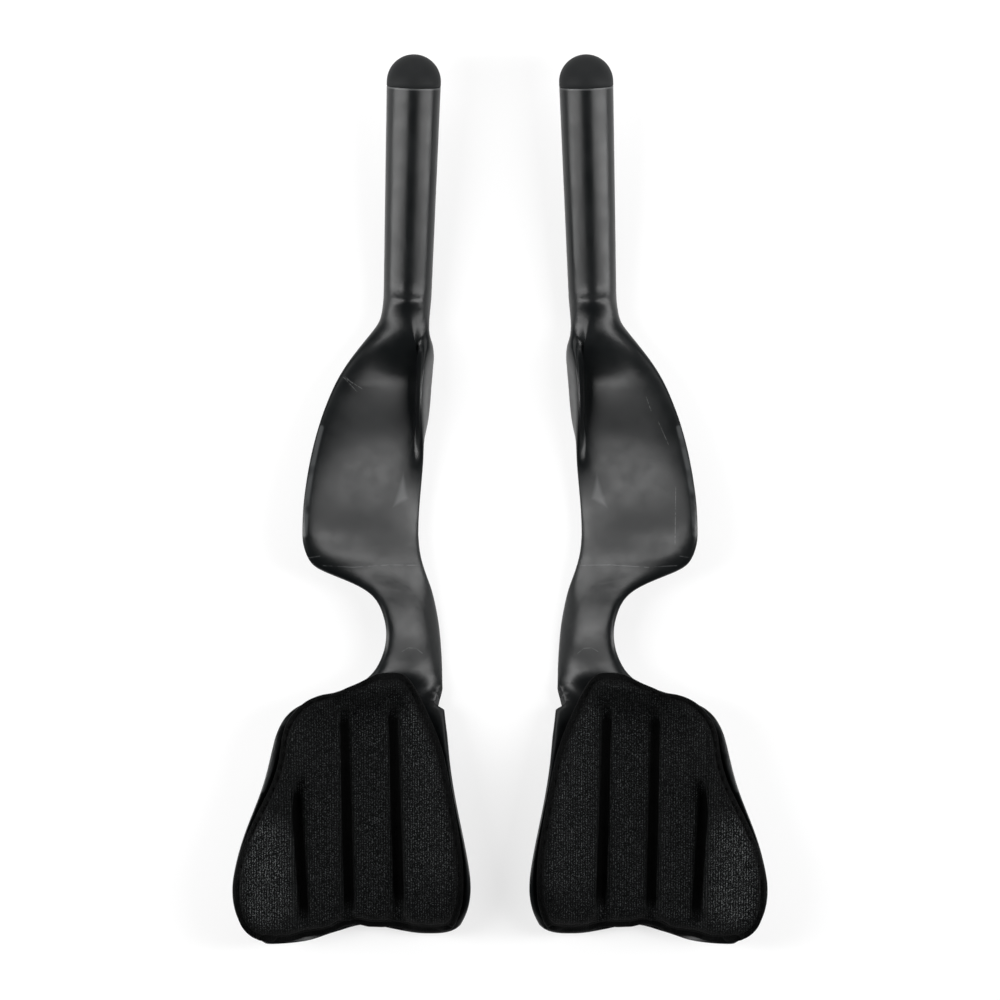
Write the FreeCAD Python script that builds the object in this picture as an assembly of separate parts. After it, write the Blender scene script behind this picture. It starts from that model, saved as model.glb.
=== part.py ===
"""Time trial handlebar: a mirrored pair of moulded forearm extensions.

Each half is one hollow-gripped moulding (elbow cup, neck, forearm wing and grip in one skin), with a padded
liner held on hook strips, bonded threaded inserts for the riser and a domed plug in the grip's open end.
Millimetres, +Z up, +Y forwards to the grips, +X to the rider's right. The right half is drawn and mirrored.
"""
import FreeCAD, Part
import math
import os

from FreeCAD import Vector

# Lengths along the bar, front to rear
grip_length = 97.2
wing_length = 120.6
neck_length = 54.0
cup_length = 114.7

# Distance from the middle plane of the pair to the line of each bar
spine_offset = 41.85

# Grip
grip_end_diameter = 24.3
grip_root_diameter = 21.6
grip_wall = 2.1
grip_rise = 10.0
grip_toe_in = 1.9
grip_root_height = 11.2
knuckle_height = 2.1
knuckle_length = 9.0
rim_chamfer = 0.5

# Grip plug
plug_collar = 2.3
plug_edge_chamfer = 0.45
plug_stem_length = 20.0
plug_clearance = 0.15
plug_rib_height = 0.1
plug_rib_width = 2.0

# Forearm wing: reaches are measured from the line of the bar
wing_reach = 46.6
wing_inner_reach = 9.6
wing_waist_reach = 3.4
wing_outer_height = 31.0
wing_lip_height = 24.0
wing_inner_height = 9.0
wing_floor_height = 4.5
wing_skin = 3.8
wing_keel = 3.2

# Neck
neck_reach = 9.0
neck_inner_reach = 14.0
neck_thickness = 9.6
neck_outer_height = 20.0
neck_inner_height = 1.0

# Elbow cup
cup_reach = 77.6
cup_inner_reach = 28.4
cup_outer_height = 36.0
cup_inner_height = 29.0
cup_floor_height = 1.8
cup_skin = 3.2
rear_scallop = 7.6
rear_inner_scallop = 4.0

# Riser seat under the cup and its bonded inserts
seat_offset = 64.0
seat_setback = 57.0
seat_width = 50.0
seat_length = 66.0
seat_corner = 12.0
bolt_spacing_across = 30.0
bolt_spacing_along = 44.0
insert_diameter = 10.0
insert_length = 8.0
insert_thread_bore = 5.0
insert_glue_gap = 0.05
insert_groove_depth = 0.5
insert_groove_width = 2.0

# Cable recess on the inner shoulder of the neck
recess_setback = 1.0
recess_length = 19.0
recess_width = 9.0
recess_depth = 0.8
recess_tilt = 48.0

# Elbow pad
pad_thickness = 9.5
pad_gap = 1.2
pad_nose_lift = 0.9
pad_outer_inset_front = 2.6
pad_outer_inset_rear = 0.8
pad_inner_inset_front = 1.7
pad_inner_inset_rear = 3.4
pad_rear_inset = 1.4
pad_nose_lead = 6.9
pad_nose_reach = 8.0
pad_nose_width = 4.0
pad_edge_round = 4.5
groove_radius = 3.4
groove_depth = 3.2
groove_reaches = (48.0, 27.0, 5.0)
groove_starts = (40.0, 9.0, 7.0)
groove_end = 9.0
groove_lean = 0.7

# Hook strips between cup and pad
strip_thickness = 0.8
strip_clearance = 0.2
strip_width = 14.0
strip_front_margin = 22.0
strip_rear_margin = 22.7
strip_spacing = 21.0
strip_count = 3

# Smooth closed skins are drawn through this many points round each section
skin_points = 26


class Profile:
    """A smooth line through a few (station, value) keys that never overshoots them."""

    def __init__(self, keys):
        self.keys = sorted(keys)
        self.slopes = self._slopes()

    def _slopes(self):
        steps = [b[0] - a[0] for a, b in zip(self.keys, self.keys[1:])]
        rates = [(b[1] - a[1]) / s for a, b, s in zip(self.keys, self.keys[1:], steps)]
        slopes = [rates[0]]
        for s0, s1, r0, r1 in zip(steps, steps[1:], rates, rates[1:]):
            if r0 * r1 <= 0:
                slopes.append(0.0)
            else:
                w0, w1 = 2 * s1 + s0, s1 + 2 * s0
                slopes.append((w0 + w1) / (w0 / r0 + w1 / r1))
        return slopes + [rates[-1]]

    def __call__(self, station):
        if station <= self.keys[0][0]:
            return self.keys[0][1]
        for i, (a, b) in enumerate(zip(self.keys, self.keys[1:])):
            if station <= b[0]:
                break
        else:
            return self.keys[-1][1]
        step = b[0] - a[0]
        f = (station - a[0]) / step
        return ((1 + 2 * f) * (1 - f) ** 2 * a[1] + f * f * (3 - 2 * f) * b[1]
                + step * f * (1 - f) * ((1 - f) * self.slopes[i] - f * self.slopes[i + 1]))


# Stations along Y, with the pair centred on the origin
rise, toe = math.radians(grip_rise), math.radians(grip_toe_in)
grip_axis = Vector(-math.sin(toe) * math.cos(rise), math.cos(toe) * math.cos(rise), math.sin(rise))
front_reach = (grip_length + plug_collar) * grip_axis.y + grip_end_diameter / 2
grip_root_y = (wing_length + neck_length + cup_length - front_reach) / 2
grip_root = Vector(spine_offset, grip_root_y, grip_root_height)
grip_end = grip_root + grip_axis * grip_length


def wing_at(share):
    return grip_root_y - share * wing_length


def neck_at(share):
    return wing_at(1) - share * neck_length


def cup_at(share):
    return neck_at(1) - share * cup_length


def between(low, high, share):
    return low + share * (high - low)


# Plan outline: shares of each reach at shares of each length
grip_root_radius = grip_root_diameter / 2
outer_edge = Profile(
    [(wing_at(f), spine_offset + between(grip_root_radius, wing_reach, s)) for f, s in (
        (0.0, 0.0), (0.067, 0.035), (0.142, 0.225), (0.254, 0.5), (0.366, 0.69), (0.515, 0.85),
        (0.664, 0.95), (0.813, 1.0), (0.888, 1.0), (0.955, 0.94))]
    + [(neck_at(f), spine_offset + between(neck_reach, wing_reach, s)) for f, s in (
        (0.0, 0.845), (0.083, 0.53), (0.167, 0.265), (0.25, 0.13), (0.36, 0.05), (0.5, 0.0))]
    + [(neck_at(f), spine_offset + between(neck_reach, cup_reach, s)) for f, s in (
        (0.6, 0.0), (0.75, 0.034), (0.87, 0.09), (0.95, 0.16), (1.0, 0.26))]
    + [(cup_at(f), spine_offset + between(neck_reach, cup_reach, s)) for f, s in (
        (0.039, 0.5), (0.085, 0.63), (0.16, 0.705), (0.353, 0.785), (0.588, 0.935), (0.7, 0.985),
        (0.785, 1.0), (0.86, 0.985), (0.92, 0.945), (0.97, 0.86), (1.05, 0.62))])
inner_edge = Profile(
    [(grip_root_y, spine_offset - grip_root_radius)]
    + [(wing_at(f), spine_offset - between(wing_waist_reach, wing_inner_reach, s)) for f, s in (
        (0.067, 1.05), (0.14, 0.95), (0.22, 0.66), (0.291, 0.53), (0.366, 0.42), (0.45, 0.42), (0.53, 0.55),
        (0.6, 0.64), (0.66, 0.53), (0.739, 0.35), (0.85, 0.22), (0.925, 0.31))]
    + [(neck_at(f), spine_offset - between(wing_waist_reach, neck_inner_reach, s)) for f, s in (
        (0.0, 0.38), (0.167, 0.68), (0.333, 0.86), (0.5, 1.0))]
    + [(neck_at(f), spine_offset - between(neck_inner_reach, cup_inner_reach, s)) for f, s in (
        (0.75, 0.08), (1.0, 0.13))]
    + [(cup_at(f), spine_offset - between(neck_inner_reach, cup_inner_reach, s)) for f, s in (
        (0.118, 0.19), (0.275, 0.3), (0.432, 0.52), (0.588, 0.78), (0.73, 0.98), (0.785, 1.0), (0.86, 0.92),
        (0.92, 0.72), (1.05, 0.1))])

# Rim heights, and the floor the scooped stretches hang to between them
outer_rim = Profile(
    [(wing_at(f), between(grip_root_height, wing_outer_height, s)) for f, s in (
        (0.0, 0.0), (0.07, 0.02), (0.16, 0.12), (0.28, 0.33), (0.42, 0.56), (0.57, 0.76), (0.72, 0.92),
        (0.85, 1.0), (0.95, 0.93))]
    + [(neck_at(f), between(neck_outer_height, wing_outer_height, s)) for f, s in (
        (0.0, 0.62), (0.083, 0.28), (0.167, 0.08), (0.25, 0.0), (0.5, 0.0))]
    + [(neck_at(f), between(neck_outer_height, cup_outer_height, s)) for f, s in (
        (0.62, 0.0), (0.82, 0.06), (1.0, 0.36))]
    + [(cup_at(f), between(neck_outer_height, cup_outer_height, s)) for f, s in (
        (0.07, 0.64), (0.18, 0.87), (0.4, 1.0), (0.68, 1.0), (0.82, 0.88), (0.92, 0.6), (1.05, 0.1))])
inner_rim = Profile(
    [(wing_at(f), between(grip_root_height, wing_lip_height, s)) for f, s in (
        (0.0, 0.0), (0.07, 0.15), (0.16, 0.6), (0.27, 1.0), (0.38, 1.0))]
    + [(wing_at(f), between(wing_inner_height, wing_lip_height, s)) for f, s in (
        (0.5, 0.64), (0.6, 0.25), (0.7, 0.03), (0.8, 0.0), (0.95, 0.04))]
    + [(neck_at(f), between(neck_inner_height, wing_inner_height, s)) for f, s in ((0.08, 0.8), (0.22, 0.3))]
    + [(neck_at(f), between(neck_inner_height, cup_inner_height, s)) for f, s in (
        (0.42, 0.0), (0.75, 0.0), (1.0, 0.25))]
    + [(cup_at(f), between(neck_inner_height, cup_inner_height, s)) for f, s in (
        (0.15, 0.65), (0.32, 0.91), (0.55, 1.0), (0.74, 1.0), (0.85, 0.84), (0.94, 0.5), (1.05, 0.2))])
floor_height = Profile(
    [(wing_at(f), between(wing_floor_height, grip_root_height, s)) for f, s in (
        (0.0, 1.0), (0.07, 1.05), (0.14, 0.95), (0.22, 0.3), (0.3, 0.0), (0.42, 0.1), (0.54, 0.34),
        (0.66, 0.62))]
    + [(cup_at(f), cup_floor_height) for f in (-0.1, 1.05)])

# How straight the section runs from rim to rim: 0 is walls on the floor, 1 is a flat plate between the rims
straightness = Profile(
    [(wing_at(f), s) for f, s in (
        (0.0, 1.0), (0.1, 0.6), (0.2, 0.12), (0.3, 0.0), (0.4, 0.05), (0.5, 0.18), (0.6, 0.34), (0.72, 0.66),
        (0.86, 0.95))]
    + [(neck_at(0.1), 1.0), (neck_at(0.85), 1.0)]
    + [(cup_at(f), s) for f, s in ((0.0, 0.55), (0.12, 0.08), (0.2, 0.0))])

# Where the walls' feet lie, as shares of the section's width, and how far up the outer wall its foot stands
inner_foot = Profile(
    [(wing_at(f), s) for f, s in (
        (0.0, 0.333), (0.08, 0.28), (0.16, 0.04), (0.22, -0.03), (0.3, -0.03), (0.45, -0.02), (0.6, 0.12),
        (0.75, 0.3), (0.85, 0.333))]
    + [(neck_at(0.8), 0.333)]
    + [(cup_at(f), s) for f, s in ((0.0, 0.25), (0.2, 0.12), (1.05, 0.12))])
outer_foot = Profile(
    [(wing_at(f), s) for f, s in (
        (0.0, 0.667), (0.14, 0.58), (0.22, 0.4), (0.3, 0.32), (0.45, 0.32), (0.6, 0.5), (0.75, 0.64),
        (0.85, 0.667))]
    + [(neck_at(0.8), 0.667)]
    + [(cup_at(f), s) for f, s in ((0.0, 0.7), (0.2, 0.84), (1.05, 0.86))])
outer_foot_rise = Profile(
    [(wing_at(f), s) for f, s in ((0.0, 0.5), (0.3, 0.5), (0.45, 0.42), (0.7, 0.45))]
    + [(neck_at(0.8), 0.5), (cup_at(0.08), 0.1), (cup_at(0.2), 0.0)])

# How sharply the section turns at its inner foot: 1 is an even bend, more is a tighter corner
inner_foot_pull = Profile(
    [(wing_at(f), w) for f, w in ((0.05, 1.0), (0.22, 3.6), (0.45, 3.6), (0.65, 1.0))])

# Half thickness of the section, and how full it is: 2 is an ellipse, a high value a plate with a round rim
half_skin = Profile(
    [(wing_at(f), between(wing_skin / 2, grip_root_radius, s)) for f, s in (
        (0.0, 1.0), (0.035, 0.94), (0.08, 0.76), (0.16, 0.44), (0.27, 0.14), (0.4, 0.03), (0.72, 0.0))]
    + [(wing_at(f), between(wing_skin / 2, neck_thickness / 2, s)) for f, s in (
        (0.76, 0.04), (0.86, 0.2), (0.95, 0.42))]
    + [(neck_at(f), between(cup_skin / 2, neck_thickness / 2, s)) for f, s in (
        (0.05, 0.72), (0.16, 0.86), (0.36, 1.0), (0.65, 1.0), (0.85, 0.8), (1.0, 0.42))]
    + [(cup_at(f), between(cup_skin / 2, neck_thickness / 2, s)) for f, s in (
        (0.07, 0.2), (0.16, 0.06), (0.28, 0.0), (1.05, 0.0))])
fullness = Profile(
    [(wing_at(f), n) for f, n in (
        (0.0, 2.0), (0.1, 2.2), (0.2, 4.0), (0.35, 9.0), (0.8, 9.0), (0.92, 5.0), (1.0, 2.6))]
    + [(neck_at(f), n) for f, n in ((0.2, 1.7), (0.7, 1.7), (1.0, 4.0))]
    + [(cup_at(f), n) for f, n in ((0.1, 8.0), (0.22, 14.0), (1.05, 14.0))])

# A keel thickens the underside along the line of the bar
keel = Profile(
    [(wing_at(f), wing_keel * s) for f, s in ((0.0, 0.0), (0.2, 0.7), (0.4, 1.0), (0.7, 1.0), (0.95, 0.2))]
    + [(neck_at(0.3), 0.0), (neck_at(0.8), 0.0)]
    + [(cup_at(f), neck_thickness * s) for f, s in ((0.05, 0.2), (0.15, 0.2), (0.5, 0.0), (1.05, 0.0))])
keel_place = Profile([(wing_at(0.0), 0.5), (wing_at(0.4), 0.3), (wing_at(0.9), 0.35), (neck_at(0.5), 0.45),
                      (cup_at(0.0), 0.35), (cup_at(0.2), 0.2)])
keel_spread = 0.17


def camber_points(y):
    """Control points (x, z, weight) of the middle line of the section at y, inner rim to outer rim."""
    u0, u1, start, end = inner_edge(y), outer_edge(y), inner_rim(y), outer_rim(y)
    low, straight = floor_height(y), straightness(y)
    inner_low = between(low, between(start, end, inner_foot(y)), straight)
    outer_low = between(between(low, end, outer_foot_rise(y)), between(start, end, outer_foot(y)), straight)
    return [(u0, start, 1.0), (between(u0, u1, inner_foot(y)), inner_low, inner_foot_pull(y)),
            (between(u0, u1, outer_foot(y)), outer_low, 1.0), (u1, end, 1.0)]


def on_camber(y, t):
    """Point and upward unit normal of the middle line at t, from 0 at the inner rim to 1 at the outer rim."""
    p = [(x * w, z * w, w) for x, z, w in camber_points(y)]
    b = ((1 - t) ** 3, 3 * t * (1 - t) ** 2, 3 * t * t * (1 - t), t ** 3)
    x, z, w = (sum(f * q[k] for f, q in zip(b, p)) for k in range(3))
    d = ((1 - t) ** 2, 2 * t * (1 - t), t * t)
    dx, dz, dw = (sum(f * (q[k] - r[k]) for f, q, r in zip(d, p[1:], p)) for k in range(3))
    run, rise_over = dx * w - x * dw, dz * w - z * dw
    size = math.hypot(run, rise_over)
    return x / w, z / w, -rise_over / size, run / size


def half_thickness(y, t):
    return half_skin(y) * math.sqrt(max(0.0, 1 - abs(2 * t - 1) ** fullness(y)))


def off_camber(y, t, gap):
    """Point at that distance above the moulding's top face, or on its middle line if gap is None."""
    x, z, nx, nz = on_camber(y, t)
    away = 0.0 if gap is None else half_thickness(y, t) + gap
    return Vector(x + nx * away, y, z + nz * away)


def moulding_row(y):
    """Points round the moulding's section at y: over the top from the inner rim, back underneath."""
    row = []
    for i in range(skin_points):
        turn = 2 * math.pi * i / skin_points
        t = (1 - math.cos(turn)) / 2
        x, z, nx, nz = on_camber(y, t)
        away = half_thickness(y, t)
        if turn > math.pi:
            away = -away - keel(y) * math.exp(-((t - keel_place(y)) / keel_spread) ** 2)
        row.append(Vector(x + nx * away, y, z + nz * away))
    return row


def grip_row(distance):
    """Points round the grip's section at that distance from its root, where a low knuckle crosses its top."""
    share = distance / grip_length
    radius = between(grip_root_diameter, grip_end_diameter, share) / 2
    centre = grip_root + grip_axis * distance
    across = Vector(math.cos(toe), math.sin(toe), 0)
    up = across.cross(grip_axis)
    swell = knuckle_height * math.exp(-(2 * distance / knuckle_length) ** 2)
    row = []
    for i in range(skin_points):
        turn = 2 * math.pi * i / skin_points
        lift = radius * math.sin(turn) + swell * max(0.0, math.sin(turn)) ** 2
        row.append(centre - across * radius * math.cos(turn) + up * lift)
    return row


def spread(first, last, count):
    return [between(first, last, i / count) for i in range(count)]


def clamped_knots(count, degree):
    inner = count - degree - 1
    return list(range(inner + 2)), [degree + 1] + [1] * inner + [degree + 1]


def section_poles(points):
    """Control points of the smooth closed curve through a section's points."""
    curve = Part.BSplineCurve()
    curve.interpolate(Points=points, PeriodicFlag=True, Parameters=list(range(len(points) + 1)))
    return curve.getPoles()


def skin_solid(sections):
    """Solid inside a smooth closed skin over sections of as many points each, with flat ends."""
    rows = [section_poles(points) for points in sections]
    count = len(rows[0])
    v_knots, v_mults = clamped_knots(len(rows), 3)
    surface = Part.BSplineSurface()
    surface.buildFromPolesMultsKnots([list(c) for c in zip(*rows)], [1] * (count + 1), v_mults,
                                     list(range(count + 1)), v_knots, True, False, 3, 3)
    side = surface.toShape()
    rings = [e for e in side.Edges if e.isClosed()]
    ends = [Part.Face(Part.Wire([e])) for e in rings]
    return closed_solid([side] + ends)


def patch_face(rows):
    """Smooth open face over rows of control points."""
    u_knots, u_mults = clamped_knots(len(rows), 3)
    v_knots, v_mults = clamped_knots(len(rows[0]), 3)
    surface = Part.BSplineSurface()
    surface.buildFromPolesMultsKnots(rows, u_mults, v_mults, u_knots, v_knots, False, False, 3, 3)
    return surface.toShape()


def closed_solid(faces):
    shell = Part.makeShell(faces)
    shell.sewShape()
    return outward(Part.makeSolid(shell))


def outward(solid):
    if solid.Volume < 0:
        solid.reverse()
    return solid


# The rear edge of cup and pad is scalloped between a long outer lobe and a shorter inner one
rear_y = cup_at(1)
rear_edge = Profile(
    [(spine_offset + cup_reach * s, rear_y + rear_scallop * d) for s, d in (
        (0.24, 1.0), (0.45, 0.48), (0.6, 0.06), (0.72, 0.0), (0.86, 0.18), (0.93, 0.58), (1.02, 1.7))]
    + [(spine_offset - cup_inner_reach * s, rear_y + rear_inner_scallop * d) for s, d in (
        (-0.05, 1.15), (0.25, 0.9), (0.5, 0.95), (0.75, 1.5), (1.02, 3.0))])


def rear_cutter():
    """Block behind the scalloped rear edge."""
    left, right = spine_offset - 1.4 * cup_inner_reach, spine_offset + 1.3 * cup_reach
    edge = Part.BSplineCurve()
    edge.interpolate([Vector(u, rear_edge(u), 0) for u in spread(left, right, 24) + [right]])
    corners = [edge.EndPoint, Vector(right, rear_y - cup_length, 0), Vector(left, rear_y - cup_length, 0),
               edge.StartPoint]
    lines = [Part.LineSegment(a, b).toShape() for a, b in zip(corners, corners[1:])]
    top = 2 * (cup_outer_height + cup_inner_height)
    return Part.Face(Part.Wire([edge.toShape()] + lines)).extrude(Vector(0, 0, top))


def moulding_skin():
    stations = (spread(cup_at(1.05), cup_at(0.72), 8) + spread(cup_at(0.72), cup_at(0.2), 6)
                + spread(cup_at(0.2), neck_at(0.8), 8) + spread(neck_at(0.8), neck_at(0.38), 4)
                + spread(neck_at(0.38), wing_at(0.86), 9) + spread(wing_at(0.86), wing_at(0.32), 6)
                + spread(wing_at(0.32), wing_at(0.0), 8))
    rows = [moulding_row(y) for y in stations]
    rows += [grip_row(grip_length * f) for f in (0.015, 0.04, 0.065, 0.1, 0.16, 0.4, 0.7, 1.0)]
    return skin_solid(rows).cut(rear_cutter())


def seat_centre():
    return Vector(seat_offset, cup_at(0) - seat_setback, 0)


def riser_seat():
    """Flat-faced boss under the cup, reaching up into the middle of its skin."""
    c = seat_centre()
    block = Part.makeBox(seat_width, seat_length, cup_outer_height,
                         Vector(c.x - seat_width / 2, c.y - seat_length / 2, 0))
    upright = [e for e in block.Edges if abs(e.tangentAt(e.FirstParameter).z) > 0.5]
    block = block.makeFillet(seat_corner, upright)
    rows = [[off_camber(y, t, None) for t in spread(0.0, 1.0, 16) + [1.0]]
            for y in spread(cup_at(1.05), cup_at(0.02), 20) + [cup_at(0.02)]]
    above = patch_face(rows).extrude(Vector(0, 0, 2 * cup_outer_height))
    return block.cut(above)


def bolt_places():
    c = seat_centre()
    return [c + Vector(i * bolt_spacing_across / 2, j * bolt_spacing_along / 2, 0)
            for i in (-1, 1) for j in (-1, 1)]


def insert_solid(place):
    body = Part.makeCylinder(insert_diameter / 2, insert_length, place)
    ring = Part.makeCylinder(insert_diameter / 2, insert_groove_width,
                             place + Vector(0, 0, (insert_length - insert_groove_width) / 2))
    core = Part.makeCylinder(insert_diameter / 2 - insert_groove_depth, insert_length, place)
    bore = Part.makeCylinder(insert_thread_bore / 2, insert_length, place)
    return body.cut(ring.cut(core)).cut(bore)


def along_grip(shape):
    """Places a shape drawn on +Z, with zero at the grip's open end, on the grip's axis."""
    shape.Placement = FreeCAD.Placement(grip_end, FreeCAD.Rotation(Vector(0, 0, 1), grip_axis))
    return shape


def grip_bore():
    deep = grip_length * 0.97
    mouth = grip_end_diameter / 2 - grip_wall
    foot = between(grip_end_diameter, grip_root_diameter, 0.97) / 2 - grip_wall
    cone = Part.makeCone(foot, mouth, deep, Vector(0, 0, -deep))
    lead = Part.makeCone(mouth, mouth + 2 * rim_chamfer, 2 * rim_chamfer, Vector(0, 0, -rim_chamfer))
    return along_grip(Part.makeCompound([cone, lead]))


def grip_plug():
    """Domed plug: collar and dome outside the grip, ribbed stem inside its bore."""
    radius = grip_end_diameter / 2
    taper = (grip_end_diameter - grip_root_diameter) / 2 / grip_length

    def stem_radius(depth):
        return radius - grip_wall - plug_clearance - depth * taper

    chamfer, foot = plug_edge_chamfer, stem_radius(plug_stem_length)
    points = [Vector(0, 0, -plug_stem_length), Vector(foot, 0, -plug_stem_length)]
    for share in (0.75, 0.35):
        depth = plug_stem_length * share
        for offset, proud in ((1, 0), (0.5, plug_rib_height), (-0.5, plug_rib_height), (-1, 0)):
            d = depth + offset * plug_rib_width
            points.append(Vector(stem_radius(d) + proud, 0, -d))
    points += [Vector(stem_radius(0), 0, 0), Vector(radius - chamfer, 0, 0), Vector(radius, 0, chamfer),
               Vector(radius, 0, plug_collar)]
    edges = [Part.LineSegment(a, b).toShape() for a, b in zip(points, points[1:])]
    middle = Vector(radius * math.sin(math.pi / 4), 0, plug_collar + radius * math.cos(math.pi / 4))
    top = Vector(0, 0, plug_collar + radius)
    edges += [Part.Arc(points[-1], middle, top).toShape(), Part.LineSegment(top, points[0]).toShape()]
    solid = Part.Face(Part.Wire(edges)).revolve(Vector(0, 0, 0), Vector(0, 0, 1), 360)
    return along_grip(outward(solid))


def cable_recess():
    """Shallow round-ended recess on the inner shoulder of the neck."""
    tilt = math.radians(recess_tilt)
    out, side = Vector(-math.sin(tilt), 0, math.cos(tilt)), Vector(0, 1, 0)
    y = neck_at(1) - recess_setback
    face = max((p for p in moulding_row(y)), key=lambda p: p.dot(out))
    seat = face - out * recess_depth
    run, width, tall = (recess_length - recess_width) / 2, recess_width / 2, 2 * recess_width
    ends = [Part.makeCylinder(width, tall, seat + side * run * k, out) for k in (-1, 1)]
    across = out.cross(side)
    corners = [seat + side * run * j + across * width * k for j, k in ((-1, -1), (1, -1), (1, 1), (-1, 1))]
    middle = Part.Face(Part.makePolygon(corners + corners[:1])).extrude(out * tall)
    return ends[0].fuse([middle, ends[1]])


def moulding():
    body = moulding_skin().fuse(riser_seat())
    sockets = [Part.makeCylinder(insert_diameter / 2 + insert_glue_gap, insert_length + insert_glue_gap, p)
               for p in bolt_places()]
    return body.cut([grip_bore(), cable_recess()] + sockets)


# Pad outline, inset from the cup's edges and drawn out to a nose over the end of the neck
pad_front_y = cup_at(0) + pad_nose_lead
nose_u = spine_offset + pad_nose_reach
outer_inset = Profile([(cup_at(0.2), pad_outer_inset_front), (cup_at(0.38), pad_outer_inset_front),
                       (cup_at(0.7), pad_outer_inset_rear)])
inner_inset = Profile([(cup_at(0.3), pad_inner_inset_front), (cup_at(0.45), pad_inner_inset_front),
                       (cup_at(0.78), pad_inner_inset_rear)])
shoulder = (0.3, 0.42, 0.52, 0.62, 0.7, 0.785, 0.86, 0.92, 0.96)
pad_outer_edge = Profile(
    [(pad_front_y, nose_u + pad_nose_width / 2)]
    + [(cup_at(f), between(nose_u, outer_edge(cup_at(0.3)) - pad_outer_inset_front, s)) for f, s in (
        (-0.055, 0.115), (-0.035, 0.2), (0.01, 0.36), (0.04, 0.58), (0.07, 0.74), (0.105, 0.86),
        (0.16, 0.935))]
    + [(cup_at(f), outer_edge(cup_at(f)) - outer_inset(cup_at(f))) for f in shoulder])
pad_inner_edge = Profile(
    [(pad_front_y, nose_u - pad_nose_width / 2)]
    + [(cup_at(f), between(nose_u, inner_edge(cup_at(0.3)) + pad_inner_inset_front, s)) for f, s in (
        (-0.055, 0.2), (-0.035, 0.31), (0.0, 0.44), (0.085, 0.63), (0.14, 0.75), (0.2, 0.88))]
    + [(cup_at(f), inner_edge(cup_at(f)) + inner_inset(cup_at(f))) for f in shoulder])


def camber_share(y, x):
    """Where across the section at y the pad's underside lies at x."""
    low, high = 0.0, 1.0
    for _ in range(40):
        mid = (low + high) / 2
        if off_camber(y, mid, pad_gap).x < x:
            low = mid
        else:
            high = mid
    return (low + high) / 2


def pad_plan(along, across):
    """Plan place on the pad, from its nose to its rear edge and from its inner to its outer side."""
    straight_rear = rear_y + rear_scallop
    y = between(pad_front_y, straight_rear, along)
    x = between(pad_inner_edge(y), pad_outer_edge(y), across)
    return x, y + (min(0.0, rear_edge(x) + pad_rear_inset - straight_rear)) * along ** 6


def pad_point(along, across, rise):
    """Point straight above the pad's seat, which lifts a little towards the nose to clear the cup's rim."""
    x, y = pad_plan(along, across)
    lift = pad_nose_lift * max(0.0, 1 - 3 * along) ** 2
    return off_camber(y, camber_share(y, x), pad_gap + lift) + Vector(0, 0, rise)


def edge_lift(share):
    """Height of the pad's rounded side, as a share, at each control line in from its edge."""
    return math.sqrt(max(0.0, 1 - (1 - min(1.0, share)) ** 2))


def pad_body():
    width = cup_reach + cup_inner_reach
    lines_in = [0.0, 0.1 * pad_edge_round, 0.45 * pad_edge_round, pad_edge_round]
    across = [d / width for d in lines_in] + [i / 10 for i in range(1, 10)]
    across += [1 - d / width for d in reversed(lines_in)]
    along = [d / cup_length for d in lines_in] + [0.1, 0.16, 0.23, 0.32, 0.42, 0.52, 0.62, 0.72, 0.82, 0.9]
    along += [1 - d / cup_length for d in reversed(lines_in)]

    def lift(a, c):
        inset = min(min(c, 1 - c) * width, min(a, 1 - a) * cup_length)
        return pad_thickness * edge_lift(inset / pad_edge_round)

    top = [[pad_point(a, c, lift(a, c)) for c in across] for a in along]
    base = [[pad_point(a, c, 0.0) for c in across] for a in along]
    return closed_solid([patch_face(top), patch_face(base)])


def groove_tools():
    """Round-bottomed channels, each a piece of a ring that follows the top of the pad."""
    tools = []
    for reach, start in zip(groove_reaches, groove_starts):
        route = []
        for share in (0.0, 0.5, 1.0):
            y = between(cup_at(0) - start, rear_y + groove_end, share)
            x = spine_offset + reach + between(groove_lean, -groove_lean, share)
            seat = off_camber(y, camber_share(y, x), pad_gap)
            route.append(seat + Vector(0, 0, pad_thickness + groove_radius - groove_depth))
        line = Part.Circle(*route)
        ring = Part.makeTorus(line.Radius, groove_radius, line.Center, line.Axis)
        front, _, rear = route
        side = 2 * groove_radius
        corner = rear - Vector(side, 0, line.Radius / 2)
        tools.append(ring.common(Part.makeBox(2 * side, front.y - rear.y, line.Radius, corner)))
    return tools


def elbow_pad():
    return pad_body().cut(groove_tools())


def hook_strip(middle_u):
    """One thin strip lying on the cup's floor."""
    front, rear = cup_at(0) - strip_front_margin, rear_y + strip_rear_margin
    stations = [between(front, rear, i / 6) for i in range(7)]
    lines = [middle_u + strip_width * (i / 6 - 0.5) for i in range(7)]

    def sheet(gap):
        return [[off_camber(y, camber_share(y, x), gap) for x in lines] for y in stations]

    low, high = patch_face(sheet(strip_clearance)), patch_face(sheet(strip_clearance + strip_thickness))
    sides = [Part.makeRuledSurface(a, b) for a, b in zip(low.Edges, high.Edges)]
    return closed_solid([low, high] + sides)


def hook_strips():
    first = seat_offset - strip_spacing * (strip_count - 1) / 2
    return Part.makeCompound([hook_strip(first + i * strip_spacing) for i in range(strip_count)])


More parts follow.
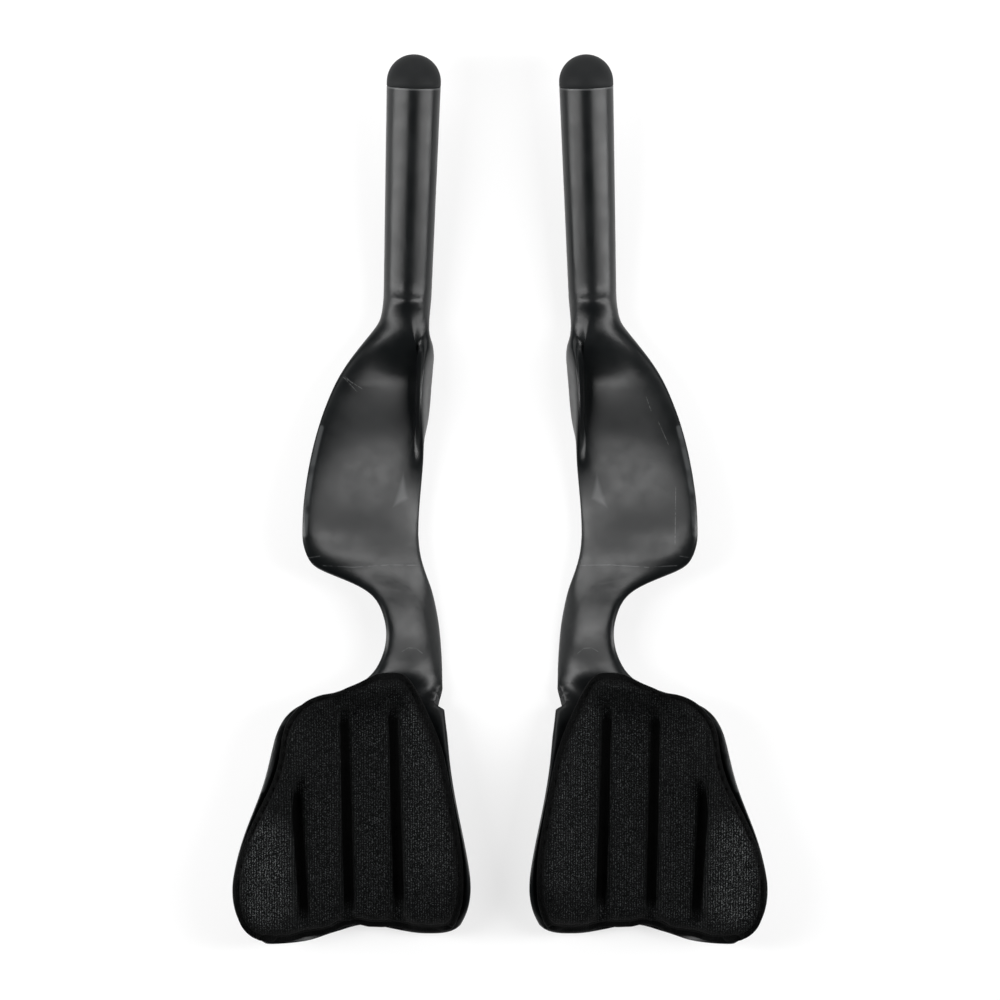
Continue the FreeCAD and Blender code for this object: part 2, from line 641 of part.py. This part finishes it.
def main():
    os.makedirs("parts", exist_ok=True)
    pieces = {
        "carbon_moulding": moulding(),
        "grip_plug": grip_plug(),
        "elbow_pad": elbow_pad(),
        "hook_strips": hook_strips(),
        "riser_inserts": Part.makeCompound([insert_solid(p) for p in bolt_places()]),
    }
    for name, shape in pieces.items():
        mirrored = shape.mirror(Vector(0, 0, 0), Vector(1, 0, 0))
        for side, piece in (("right", shape), ("left", mirrored)):
            piece.exportStep(f"parts/{side}_{name}.step")
        box = shape.BoundBox
        print(name, "valid", shape.isValid(), "solids", len(shape.Solids), "volume", round(shape.Volume),
              "box", [round(v, 2) for v in (box.XMin, box.XMax, box.YMin, box.YMax, box.ZMin, box.ZMax)])


main()
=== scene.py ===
import math

import bmesh
import bpy
import numpy as np
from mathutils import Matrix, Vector


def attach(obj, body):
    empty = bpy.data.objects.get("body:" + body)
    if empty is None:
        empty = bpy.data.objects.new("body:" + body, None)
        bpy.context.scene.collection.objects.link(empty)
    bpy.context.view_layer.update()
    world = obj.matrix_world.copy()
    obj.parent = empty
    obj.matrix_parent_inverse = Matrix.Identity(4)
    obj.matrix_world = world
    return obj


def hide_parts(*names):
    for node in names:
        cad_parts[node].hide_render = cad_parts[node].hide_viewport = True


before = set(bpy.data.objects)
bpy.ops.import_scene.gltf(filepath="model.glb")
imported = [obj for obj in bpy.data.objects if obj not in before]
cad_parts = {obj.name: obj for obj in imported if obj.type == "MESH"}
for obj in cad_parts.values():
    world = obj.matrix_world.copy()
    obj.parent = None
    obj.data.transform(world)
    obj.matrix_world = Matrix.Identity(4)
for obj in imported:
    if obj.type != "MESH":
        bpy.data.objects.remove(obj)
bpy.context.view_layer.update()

scene = bpy.context.scene
scene.view_settings.view_transform = "Standard"
sides = {"left": -1.0, "right": 1.0}
mm = 0.001
print("frame loaded:", len(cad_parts), "nodes")

# camera: straight down on the pair, with 450 mm across the square picture at 20 mm above the floor
shot = {"height": 2.02, "level": 0.02, "frameWidth": 0.45, "sensor": 36.0}


def placeCamera():
    data = bpy.data.cameras.new("downCamera")
    data.sensor_width = shot["sensor"]
    data.lens = shot["sensor"] * (shot["height"] - shot["level"]) / shot["frameWidth"]
    data.dof.use_dof = False
    cam = bpy.data.objects.new("downCamera", data)
    cam.location = (0.0, 0.0, shot["height"])
    scene.collection.objects.link(cam)
    scene.camera = cam
    print("camera: lens", round(data.lens, 1), "mm")


placeCamera()

# studio: a long soft strip at each side and a broad lamp ahead, dark ceiling, pale horizon and floor
studio = {
    "lampAngle": 60.0, "distance": 1.0,
    "stripSize": (0.28, 1.5), "stripPower": 16.0,
    "frontSize": (1.2, 0.9), "frontPower": 7.0,
    "ceiling": 0.03, "horizon": 0.55, "horizonTop": 0.12,
    "floorSize": 12.0, "floorGrey": 0.3, "floorGlow": 0.68,
}


def placeLamp(name, direction, size, power):
    lamp = bpy.data.lights.new(name, "AREA")
    lamp.shape = "RECTANGLE"
    lamp.size, lamp.size_y = size
    lamp.energy = power
    obj = bpy.data.objects.new(name, lamp)
    obj.location = Vector(direction) * studio["distance"]
    obj.rotation_euler = Vector(direction).to_track_quat("Z", "Y").to_euler()
    obj.visible_camera = False
    scene.collection.objects.link(obj)


def placeLamps():
    tilt = math.radians(studio["lampAngle"])  # from straight up
    out, up = math.sin(tilt), math.cos(tilt)
    for name, sign in sides.items():
        placeLamp(name + "Strip", (sign * out, 0, up), studio["stripSize"], studio["stripPower"])
    placeLamp("frontLamp", (0, out, up), studio["frontSize"], studio["frontPower"])


def addNode(tree, kind, **settings):
    # a new shader node, with each setting given to the socket of that name, or else to the node itself
    made = tree.nodes.new("ShaderNode" + kind)
    for key, value in settings.items():
        if key in made.inputs:
            made.inputs[key].default_value = value
        else:
            setattr(made, key, value)
    return made


def calc(tree, operation, *values, clamp=False):
    # one Math node on sockets or plain numbers
    made = addNode(tree, "Math", operation=operation, use_clamp=clamp)
    for socket, value in zip(made.inputs, values):
        if isinstance(value, (int, float)):
            socket.default_value = value
        else:
            tree.links.new(value, socket)
    return made.outputs[0]


def plus(tree, first, second):
    return calc(tree, "ADD", first, second)


def minus(tree, first, second):
    return calc(tree, "SUBTRACT", first, second)


def times(tree, first, second):
    return calc(tree, "MULTIPLY", first, second)


def fade(tree, value, start, end, low=0.0, high=1.0):
    # smooth step of a socket between two of its values
    made = addNode(tree, "MapRange", interpolation_type="SMOOTHSTEP")
    for key, number in (("From Min", start), ("From Max", end), ("To Min", low), ("To Max", high)):
        made.inputs[key].default_value = number
    tree.links.new(value, made.inputs["Value"])
    return made.outputs["Result"]


def paintWorld():
    # brightness falls from the pale horizon to the dark ceiling
    world = bpy.data.worlds.new("studioWorld")
    world.use_nodes = True
    tree = world.node_tree
    coord = addNode(tree, "TexCoord")
    split = addNode(tree, "SeparateXYZ")
    tree.links.new(coord.outputs["Generated"], split.inputs[0])
    level = fade(tree, split.outputs["Z"], 0.0, studio["horizonTop"], studio["horizon"], studio["ceiling"])
    tree.links.new(level, tree.nodes["Background"].inputs["Color"])
    scene.world = world


def newMaterial(name):
    mat = bpy.data.materials.new(name)
    mat.use_nodes = True
    return mat, mat.node_tree, mat.node_tree.nodes["Principled BSDF"]


def layFloor():
    # pale paper that glows a little, so that it shows white with the pair's faint shadow
    half = studio["floorSize"] / 2
    mesh = bpy.data.meshes.new("studioFloor")
    corners = [(-half, -half, 0), (half, -half, 0), (half, half, 0), (-half, half, 0)]
    mesh.from_pydata(corners, [], [(0, 1, 2, 3)])
    floor = bpy.data.objects.new("studioFloor", mesh)
    scene.collection.objects.link(floor)
    mat, _, bsdf = newMaterial("floorPaper")
    bsdf.inputs["Base Color"].default_value = (studio["floorGrey"],) * 3 + (1,)
    bsdf.inputs["Roughness"].default_value = 1.0
    bsdf.inputs["Specular IOR Level"].default_value = 0.0
    bsdf.inputs["Emission Color"].default_value = (1, 1, 1, 1)
    bsdf.inputs["Emission Strength"].default_value = studio["floorGlow"]
    mesh.materials.append(mat)


placeLamps()
paintWorld()
layFloor()
print("studio ready")

lineEdge = (0.15, 0.6)  # a drawn line fades out between these shares of its width, to each side


def planCoords(tree):
    # object coordinates in millimetres: the vector, its distance from the middle plane, X, Y and Z
    coord = addNode(tree, "TexCoord")
    scale = addNode(tree, "VectorMath", operation="SCALE", Scale=1 / mm)
    split = addNode(tree, "SeparateXYZ")
    tree.links.new(coord.outputs["Object"], scale.inputs[0])
    tree.links.new(scale.outputs[0], split.inputs[0])
    x, y, z = split.outputs
    return scale.outputs[0], calc(tree, "ABSOLUTE", x), x, y, z


def noise(tree, place, scale, detail=2.0, stretch=None):
    made = addNode(tree, "TexNoise", Scale=scale, Detail=detail)
    if stretch:
        warp = addNode(tree, "VectorMath", operation="MULTIPLY")
        warp.inputs[1].default_value = stretch
        tree.links.new(place, warp.inputs[0])
        place = warp.outputs[0]
    tree.links.new(place, made.inputs["Vector"])
    return made.outputs["Fac"]


def brokenUp(tree, mask, place, scale, limits):
    # the mask with gaps in it, where noise lies under the limits
    return times(tree, mask, fade(tree, noise(tree, place, scale), *limits))


def lineMask(tree, x, y, points, width):
    # 1 on a line through the plan points, fading out by distance from its nearest stretch
    nearest = None
    for (ax, ay), (bx, by) in zip(points, points[1:]):
        dx, dy = bx - ax, by - ay
        px, py = minus(tree, x, ax), minus(tree, y, ay)
        along = plus(tree, times(tree, px, dx), times(tree, py, dy))
        share = calc(tree, "DIVIDE", along, dx * dx + dy * dy, clamp=True)
        offX = minus(tree, px, times(tree, share, dx))
        offY = minus(tree, py, times(tree, share, dy))
        gap = calc(tree, "SQRT", plus(tree, times(tree, offX, offX), times(tree, offY, offY)))
        nearest = gap if nearest is None else calc(tree, "MINIMUM", nearest, gap)
    inside, outside = lineEdge
    return fade(tree, nearest, inside * width, outside * width, 1.0, 0.0)


def patchMask(tree, x, y, corners, soft):
    # 1 inside a convex patch with corners in turning order, fading out over soft
    depth = None
    for (ax, ay), (bx, by) in zip(corners, corners[1:] + corners[:1]):
        size = math.hypot(bx - ax, by - ay)
        nx, ny = (ay - by) / size, (bx - ax) / size
        side = plus(tree, times(tree, x, nx), times(tree, y, ny))
        inset = minus(tree, side, ax * nx + ay * ny)
        depth = inset if depth is None else calc(tree, "MINIMUM", depth, inset)
    return fade(tree, depth, 0.0, soft)


def mixColour(tree, mask, first, second):
    # the first colour where the mask is 0 and the second where it is 1
    made = addNode(tree, "Mix", data_type="RGBA")
    tree.links.new(mask, made.inputs["Factor"])
    for socket, value in ((made.inputs[6], first), (made.inputs[7], second)):
        if isinstance(value, tuple):
            socket.default_value = value + (1,)
        else:
            tree.links.new(value, socket)
    return made.outputs[2]


def addBump(tree, bsdf, height, distance):
    bump = addNode(tree, "Bump", Strength=1.0, Distance=distance)
    tree.links.new(height, bump.inputs["Height"])
    tree.links.new(bump.outputs[0], bsdf.inputs["Normal"])


def addGrain(tree, bsdf, place, scale, height, detail=3.0):
    # fine bumps of noise
    addBump(tree, bsdf, noise(tree, place, scale, detail), height)


# carbon: satin black, faintly clouded, with lay-up lines alike on both halves, a few scratches, painted
# highlights on some edges and a painted shade line at the grip's root
carbonLook = {
    "dark": (0.003, 0.0037, 0.004), "light": (0.0062, 0.007, 0.0074), "specular": 0.75, "ior": 1.25,
    "cloudScale": 0.05, "cloudDetail": 4.0, "cloudFade": (0.35, 0.68),
    "roughness": (0.29, 0.36), "satinScale": 0.11, "satinDetail": 5.0, "satinFade": (0.3, 0.7),
    "grainScale": 1.4, "grainHeight": 0.006 * mm,
    # plan points in millimetres; those of the scratches keep their side, the rest are on both halves
    "lineWidth": 0.42, "plyLineAndHighlightColour": (0.045, 0.047, 0.048), "lineNoise": 0.35, "lineBreaks": (0.3, 0.6),
    "plyLines": [
        [(79.2, -29.4), (66.0, -30.2), (50.0, -29.2), (36.4, -29.5)],
        [(86.2, -26.0), (80.6, -25.1)]],
    # painted highlight: a light line on the step round the neck
    "neckStepHighlight": [(44.1, -68.2), (41.4, -66.6), (37.8, -66.9), (35.1, -69.2)],
    "plyPatch": [(43.6, 14.6), (40.5, 0.2), (49.5, -4.7)],
    "patchColour": (0.062, 0.064, 0.065), "patchFade": 2.4, "patchShare": 0.8,
    # painted shade: a black line along the crease at the grip's root
    "rootCreaseShade": [(48.2, 89.0), (45.9, 89.5), (43.6, 89.3)], "creaseShadeColour": (0.0, 0.0, 0.0),
    "scratches": [
        [(-70.6, 55.3), (-61.7, 49.9)], [(-70.2, 55.0), (-64.4, 48.8)], [(-69.8, 55.6), (-66.4, 52.6)],
        [(65.8, 46.4), (68.0, 40.1)], [(71.2, 35.1), (75.7, 24.8)], [(78.8, 5.9), (78.4, -19.8)]],
    "scratchWidth": 0.34, "scratchColour": (0.07, 0.072, 0.072),
    "scratchNoise": 0.9, "scratchBreaks": (0.25, 0.7),
    # painted highlights along the outer edges, patchy, where a bevel would catch the light
    "edgeHighlights": [
        [(80.2, 32.5), (81.9, 25.5), (84.4, 13.7), (86.3, 0.2), (87.3, -15.5)],
        [(76.0, -87.3), (82.5, -90.0), (90.0, -94.0), (96.6, -100.0),
         (99.2, -107.0), (100.9, -114.5), (103.0, -122.0), (105.8, -129.5)]],
    "edgeHighlightWidth": 2.6, "edgeHighlightColour": (0.042, 0.044, 0.045),
    "edgeHighlightNoise": 0.12, "edgeHighlightBreaks": (0.2, 0.55), "edgeHighlightFacing": (0.15, 0.5),
    # the grip's own direction, rising and toeing in, and how far along it the open end lies
    "gripAxis": (-0.0327, 0.9843, 0.1736), "gripEnd": 185.97,
    # a painted highlight: a lighter band at the edge of the grip's open end
    "rimBand": 0.7, "rimFade": (1.4, 0.6), "rimHighlightColour": (0.05, 0.052, 0.053),
}


def gripRimHighlight(tree, reach, y, z):
    # 1 on the narrow edge of the grip's open end, just behind the plug, where a light line is painted as a
    # highlight
    axisX, axisY, axisZ = carbonLook["gripAxis"]
    forward = plus(tree, times(tree, reach, axisX), times(tree, y, axisY))
    forward = plus(tree, forward, times(tree, z, axisZ))
    start, end = (carbonLook["gripEnd"] - share * carbonLook["rimBand"] for share in carbonLook["rimFade"])
    return fade(tree, forward, start, end)


def carbonMaterial():
    look = carbonLook
    mat, tree, bsdf = newMaterial("satinCarbon")
    place, reach, x, y, z = planCoords(tree)
    cloud = noise(tree, place, look["cloudScale"], look["cloudDetail"])
    colour = mixColour(tree, fade(tree, cloud, *look["cloudFade"]), look["dark"], look["light"])
    patch = patchMask(tree, reach, y, look["plyPatch"], look["patchFade"])
    colour = mixColour(tree, times(tree, patch, look["patchShare"]), colour, look["patchColour"])
    # lay-up lines, and a painted highlight on the step round the neck
    for points in look["plyLines"] + [look["neckStepHighlight"]]:
        line = lineMask(tree, reach, y, points, look["lineWidth"])
        line = brokenUp(tree, line, place, look["lineNoise"], look["lineBreaks"])
        colour = mixColour(tree, line, colour, look["plyLineAndHighlightColour"])
    # painted shade along the crease at the grip's root
    creaseShade = lineMask(tree, reach, y, look["rootCreaseShade"], look["lineWidth"])
    colour = mixColour(tree, creaseShade, colour, look["creaseShadeColour"])
    for points in look["scratches"]:
        scratch = lineMask(tree, x, y, points, look["scratchWidth"])
        scratch = brokenUp(tree, scratch, place, look["scratchNoise"], look["scratchBreaks"])
        colour = mixColour(tree, scratch, colour, look["scratchColour"])
    colour = mixColour(tree, gripRimHighlight(tree, reach, y, z), colour, look["rimHighlightColour"])
    # painted highlights along the outer edges of the wing and the cup, patchy and only on what faces up
    facing = addNode(tree, "SeparateXYZ")
    tree.links.new(addNode(tree, "NewGeometry").outputs["Normal"], facing.inputs[0])
    upward = fade(tree, facing.outputs["Z"], *look["edgeHighlightFacing"])
    patchy = brokenUp(tree, upward, place, look["edgeHighlightNoise"], look["edgeHighlightBreaks"])
    for points in look["edgeHighlights"]:
        edgeHighlight = times(tree, lineMask(tree, reach, y, points, look["edgeHighlightWidth"]), patchy)
        colour = mixColour(tree, edgeHighlight, colour, look["edgeHighlightColour"])
    tree.links.new(colour, bsdf.inputs["Base Color"])
    satin = noise(tree, place, look["satinScale"], look["satinDetail"])
    tree.links.new(fade(tree, satin, *look["satinFade"], *look["roughness"]), bsdf.inputs["Roughness"])
    bsdf.inputs["Specular IOR Level"].default_value = look["specular"]
    bsdf.inputs["IOR"].default_value = look["ior"]
    addGrain(tree, bsdf, place, look["grainScale"], look["grainHeight"])
    return mat


def mergedCopy(node, name, mergeGap=1e-6, sharpAngle=32.0):
    # the node's triangles joined at their corners and shaded smooth, apart from sharp edges
    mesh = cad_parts[node].data.copy()
    mesh.name = name
    bm = bmesh.new()
    bm.from_mesh(mesh)
    bmesh.ops.remove_doubles(bm, verts=bm.verts, dist=mergeGap)
    bm.to_mesh(mesh)
    bm.free()
    mesh.materials.clear()
    mesh.shade_smooth()
    mesh.set_sharp_from_angle(angle=math.radians(sharpAngle))
    obj = bpy.data.objects.new(name, mesh)
    scene.collection.objects.link(obj)
    return obj


def settle(obj, node, material):
    # the piece takes its material and its node's place in the frame
    obj.data.materials.append(material)
    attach(obj, "root")
    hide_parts(node)
    print(obj.name, len(obj.data.polygons), "faces")


carbon = carbonMaterial()
for side in sides:
    node = side + "_carbon_moulding"
    settle(mergedCopy(node, side + "_moulding_skin"), node, carbon)

# plugs: satin rubber
rubberLook = {
    "colour": (0.013, 0.0138, 0.0143), "roughness": 0.55, "specular": 0.2, "ior": 1.28,
    "grainScale": 2.2, "grainHeight": 0.02 * mm,
}


def rubberMaterial():
    mat, tree, bsdf = newMaterial("plugRubber")
    place = planCoords(tree)[0]
    bsdf.inputs["Base Color"].default_value = rubberLook["colour"] + (1,)
    bsdf.inputs["Roughness"].default_value = rubberLook["roughness"]
    bsdf.inputs["Specular IOR Level"].default_value = rubberLook["specular"]
    bsdf.inputs["IOR"].default_value = rubberLook["ior"]
    addGrain(tree, bsdf, place, rubberLook["grainScale"], rubberLook["grainHeight"])
    return mat


rubber = rubberMaterial()
for side in sides:
    node = side + "_grip_plug"
    settle(mergedCopy(node, side + "_plug_cap"), node, rubber)

# pads: foam blown up a little under its knit by a cloth pass, then channels and a seam pressed into it
padShape = {
    "voxel": 1.3 * mm, "relax": 8, "finer": 1,
    # cloth pass
    "pressure": 4.0, "frames": 20, "clothQuality": 5, "puffCap": 0.9 * mm, "leastMove": 1e-9,
    "pinReach": 5.0 * mm, "pinStart": 0.3, "pinned": 0.5,
    # channels from front to rear, as plan points of the right pad in millimetres
    "channels": [
        ((91.4, -127.0), (88.2, -190.5)),
        ((69.8, -94.5), (68.0, -187.5)),
        ((48.2, -92.5), (45.5, -186.0))],
    "channelDepth": 2.6 * mm, "channelFlat": 1.0 * mm, "channelOuter": 2.6 * mm, "channelInner": 7.0 * mm,
    "innerCurve": 0.5, "channelTaper": 9.0 * mm, "channelReach": 5.0 * mm,
    "shoulderLift": 1.5 * mm, "shoulderPlace": -2.7 * mm, "shoulderWidth": 1.5 * mm,
    # rim: seam, crown, and pile pressed flat and painted darker as shade, and the normals that tell the
    # sides and the top apart
    "seamInset": 1.7 * mm, "seamWidth": 0.5 * mm, "seamDepth": 0.35 * mm,
    "crownDrop": 2.0 * mm, "crownReach": 8.0 * mm, "flatPileShadeReach": 7.0 * mm, "flatPileShadeShare": 0.9,
    "rimNormal": 0.35, "rimEvery": 6, "topNormal": 0.2,
    # outline, in metres for the spread and millimetres for the shifts
    "spread": 1.2 * mm, "sideLevel": (0.3, 0.8), "leastLevel": 0.1,
    "shifts": [
        {"centre": (102.0, -119.0), "radius": 17.0, "by": (-2.2, 0.0)},
        {"centre": (84.0, -92.0), "radius": 11.0, "by": (0.9, 2.0)}],
}


def coords(mesh, kind="co"):
    flat = np.empty(len(mesh.vertices) * 3)
    mesh.vertices.foreach_get(kind, flat)
    return flat.reshape(-1, 3)


def addValues(mesh, name, values):
    # one number for each point, for a material to read
    mesh.attributes.new(name, "FLOAT", "POINT").data.foreach_set("value", values.astype(np.float32))


def ease(value, start, end):
    # smooth step from 0 at start to 1 at end
    share = np.clip((value - start) / (end - start), 0, 1)
    return share * share * (3 - 2 * share)


def bell(value, centre, width):
    # bell curve: 1 at the centre, and e to the minus square of the distance in widths
    return np.exp(-((value - centre) / width) ** 2)


def modified(obj):
    # the object's mesh with its modifiers taken into it
    mesh = bpy.data.meshes.new_from_object(obj.evaluated_get(bpy.context.evaluated_depsgraph_get()))
    obj.modifiers.clear()
    obj.data = mesh
    return mesh


def channelPlace(points, ends):
    # for each point, how far it lies past the channel's start and short of its end, and its offset outwards
    start, end = (np.array(p) * mm for p in ends)
    length = np.hypot(*(end - start))
    ahead = (end - start) / length
    offset = points[:, :2] - start
    along = offset @ ahead
    outwards = offset @ np.array((-ahead[1], ahead[0]))
    return along, length - along, outwards


def channelDistance(points):
    # plan distance to the nearest channel's line
    nearest = np.full(len(points), np.inf)
    for ends in padShape["channels"]:
        early, late, outwards = channelPlace(points, ends)
        beyond = np.clip(-np.minimum(early, late), 0, None)
        nearest = np.minimum(nearest, np.hypot(outwards, beyond))
    return nearest


def rimDistance(points, normals):
    # plan distance to the nearest point of the pad's upright sides, of which one in a few is enough
    upright = np.abs(normals[:, 2]) < padShape["rimNormal"]
    upright &= channelDistance(points) > padShape["channelReach"]
    rim = points[upright][::padShape["rimEvery"], :2].astype(np.float32)
    top = np.flatnonzero(normals[:, 2] > 0)
    reach = np.zeros(len(points))
    acrossX = points[top, 0, None].astype(np.float32) - rim[:, 0]
    acrossY = points[top, 1, None].astype(np.float32) - rim[:, 1]
    reach[top] = np.hypot(acrossX, acrossY).min(1)
    return reach


def blowUp(obj):
    # cloth pressure, with the underside, the rim and the channels pinned, and the movement capped
    shape = padShape
    rest, normals = coords(obj.data), coords(obj.data, "normal")
    reach = np.minimum(rimDistance(rest, normals), channelDistance(rest))
    free = ease(reach, shape["pinStart"] * shape["pinReach"], shape["pinReach"])
    free *= normals[:, 2] > shape["topNormal"]
    pins = obj.vertex_groups.new(name="pins")
    pins.add(np.flatnonzero(free < shape["pinned"]).tolist(), 1.0, "REPLACE")
    cloth = obj.modifiers.new("puff", "CLOTH")
    cloth.settings.quality = shape["clothQuality"]
    cloth.settings.vertex_group_mass = "pins"
    cloth.settings.use_pressure = True
    cloth.settings.uniform_pressure_force = shape["pressure"]
    cloth.settings.effector_weights.gravity = 0.0
    cloth.point_cache.frame_start = 1
    cloth.point_cache.frame_end = shape["frames"]
    for step in range(1, shape["frames"] + 1):
        scene.frame_set(step)
    blown = coords(obj.evaluated_get(bpy.context.evaluated_depsgraph_get()).data)
    move = blown - rest
    size = np.linalg.norm(move, axis=1, keepdims=True)
    obj.modifiers.clear()
    scene.frame_set(1)
    move *= np.minimum(1, shape["puffCap"] / np.maximum(size, shape["leastMove"]))
    obj.data.vertices.foreach_set("co", (rest + move * free[:, None]).ravel())
    obj.vertex_groups.clear()
    most = float(np.minimum(size, shape["puffCap"]).max() / mm)
    print("pad blown up by at most", round(most, 2), "mm")


def spreadSides(mesh):
    # the sides move outwards, level, by what the remesh and its relaxing took off them
    shape = padShape
    points, normals = coords(mesh), coords(mesh, "normal")
    level = np.hypot(normals[:, 0], normals[:, 1])
    clear = ease(channelDistance(points), shape["channelReach"], 2 * shape["channelReach"])
    share = ease(level, *shape["sideLevel"]) * clear
    outwards = normals[:, :2] / np.maximum(level, shape["leastLevel"])[:, None]
    points[:, :2] += outwards * (shape["spread"] * share)[:, None]
    # drawn in beside the cup's bare rim and filled out at the corner ahead of it, each as a bell curve
    for shift in shape["shifts"]:
        away = np.hypot(*(points[:, :2] / mm - shift["centre"]).T)
        points[:, :2] += bell(away, 0.0, shift["radius"])[:, None] * np.array(shift["by"]) * mm
    mesh.vertices.foreach_set("co", points.ravel())
    mesh.update()


def pressChannels(mesh):
    # each channel is flat at its line, steep on its outer side and long on its inner side, where a shoulder
    # is raised, and tapers at both ends; the top falls away to the rim, with a fine seam along it
    shape = padShape
    points, normals = coords(mesh), coords(mesh, "normal")
    reach = rimDistance(points, normals)
    sink = shape["seamDepth"] * bell(reach, shape["seamInset"], shape["seamWidth"])
    sink += shape["crownDrop"] * (1 - ease(reach, 0, shape["crownReach"]))
    # the pile's darkening: partly pressed flat, partly painted shade in the channels and along the rim
    pressedPileShade = shape["flatPileShadeShare"] * (1 - ease(reach, 0, shape["flatPileShadeReach"]))
    for ends in shape["channels"]:
        early, late, outwards = channelPlace(points, ends)
        outer = 1 - ease(outwards, shape["channelFlat"], shape["channelOuter"])
        inner = 1 - ease(-outwards, shape["channelFlat"], shape["channelInner"]) ** shape["innerCurve"]
        taper = ease(np.minimum(early, late) + shape["channelFlat"], 0, shape["channelTaper"])
        press = np.minimum(outer, inner) * taper
        shoulder = bell(outwards, shape["shoulderPlace"], shape["shoulderWidth"]) * taper
        sink = np.maximum(sink, shape["channelDepth"] * press) - shape["shoulderLift"] * shoulder
        pressedPileShade = np.maximum(pressedPileShade, press ** 2)
    sink *= ease(normals[:, 2], shape["topNormal"], 2 * shape["topNormal"])
    addValues(mesh, "pressedPileShade", pressedPileShade)
    mesh.vertices.foreach_set("co", (points - normals * sink[:, None]).ravel())


def padCushion():
    # an even skin over the frame's pad, spread, blown up, refined and pressed
    obj = mergedCopy("right_elbow_pad", "right_pad_cushion")
    blanket = obj.modifiers.new("blanket", "REMESH")
    blanket.mode = "VOXEL"
    blanket.voxel_size = padShape["voxel"]
    obj.modifiers.new("relax", "SMOOTH").iterations = padShape["relax"]
    spreadSides(modified(obj))
    blowUp(obj)
    finer = obj.modifiers.new("finer", "SUBSURF")
    finer.levels = padShape["finer"]
    finer.render_levels = padShape["finer"]
    pressChannels(modified(obj))
    obj.data.shade_smooth()
    return obj


def mirroredCopy(obj, name):
    # X turned about, and the faces turned over to match
    mesh = obj.data.copy()
    mesh.name = name
    mesh.vertices.foreach_set("co", (coords(mesh) * (-1, 1, 1)).ravel())
    mesh.flip_normals()
    other = bpy.data.objects.new(name, mesh)
    scene.collection.objects.link(other)
    return other


# knit: near black with flecks of pile, lightened by a painted sheen on the outer and inner lobes
knitLook = {
    # the flat colour is near-black pile where pressed, and painted shade in the channels and along the rim
    "dark": (0.0006, 0.0009, 0.0009), "light": (0.135, 0.142, 0.144), "flat": (0.0003, 0.0004, 0.0004),
    "roughness": 0.65, "specular": 0.04, "sheen": 0.01,
    "ribPitch": 1.1, "ribShare": 0.05,
    "fuzzScale": 2.5, "fuzzDetail": 4.0, "fuzzStretch": (1.0, 0.75, 1.0), "fuzzHeight": 0.3 * mm,
    "pileFade": (0.52, 0.74), "tintScale": 0.34,
    # painted sheen: flecks lightened along these lines of the right pad, on its outer and its inner lobe
    "paintedSheen": [
        {"line": ((105.0, -152.0), (104.0, -180.0)), "gain": 2.2},
        {"line": ((35.0, -100.0), (31.0, -165.0)), "gain": 0.5}],
    "paintedSheenWidth": 26.0,
}


def knitMaterial():
    look = knitLook
    mat, tree, bsdf = newMaterial("knitWithPaintedLight")
    place, reach, _, y, _ = planCoords(tree)
    fuzz = noise(tree, place, look["fuzzScale"], look["fuzzDetail"], look["fuzzStretch"])
    # fine ribs run along the pad
    rib = calc(tree, "SINE", times(tree, reach, 2 * math.pi / look["ribPitch"]))
    pile = plus(tree, fuzz, times(tree, rib, look["ribShare"]))
    tint = times(tree, fade(tree, pile, *look["pileFade"]), look["tintScale"])
    # painted sheen: the flecks lighter along each listed line
    for sheenPatch in look["paintedSheen"]:
        sheenLift = times(tree, lineMask(tree, reach, y, sheenPatch["line"], look["paintedSheenWidth"]), sheenPatch["gain"])
        tint = times(tree, tint, plus(tree, sheenLift, 1.0))
    colour = mixColour(tree, tint, look["dark"], look["light"])
    # pile lies flat, and so darker, where the foam is pressed; in the channels and along the rim the
    # darkening is painted shade as well
    pressedPileShade = addNode(tree, "Attribute", attribute_name="pressedPileShade")
    colour = mixColour(tree, pressedPileShade.outputs["Fac"], colour, look["flat"])
    tree.links.new(colour, bsdf.inputs["Base Color"])
    bsdf.inputs["Roughness"].default_value = look["roughness"]
    bsdf.inputs["Specular IOR Level"].default_value = look["specular"]
    bsdf.inputs["Sheen Weight"].default_value = look["sheen"]
    addBump(tree, bsdf, pile, look["fuzzHeight"])
    return mat


knit = knitMaterial()
rightPad = padCushion()
for obj in (mirroredCopy(rightPad, "left_pad_cushion"), rightPad):
    settle(obj, obj.name.split("_")[0] + "_elbow_pad", knit)

# hook tape and inserts stay as the frame has them, in their own finishes
hardware = {
    "hook_strips": {
        "name": "hookTape", "colour": (0.008, 0.008, 0.008), "metal": 0.0, "roughness": 0.85,
        "grainScale": 1.2, "grainHeight": 0.3 * mm},
    "riser_inserts": {
        "name": "turnedAluminium", "colour": (0.6, 0.6, 0.62), "metal": 1.0, "roughness": 0.35,
        "grainScale": 3.0, "grainHeight": 0.01 * mm},
}


def dressHardware(node, look):
    mat, tree, bsdf = newMaterial(look["name"])
    bsdf.inputs["Base Color"].default_value = look["colour"] + (1,)
    bsdf.inputs["Metallic"].default_value = look["metal"]
    bsdf.inputs["Roughness"].default_value = look["roughness"]
    addGrain(tree, bsdf, planCoords(tree)[0], look["grainScale"], look["grainHeight"])
    for side in sides:
        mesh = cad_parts[side + "_" + node].data
        mesh.materials.clear()
        mesh.materials.append(mat)


for node, look in hardware.items():
    dressHardware(node, look)
print("materials on every node")
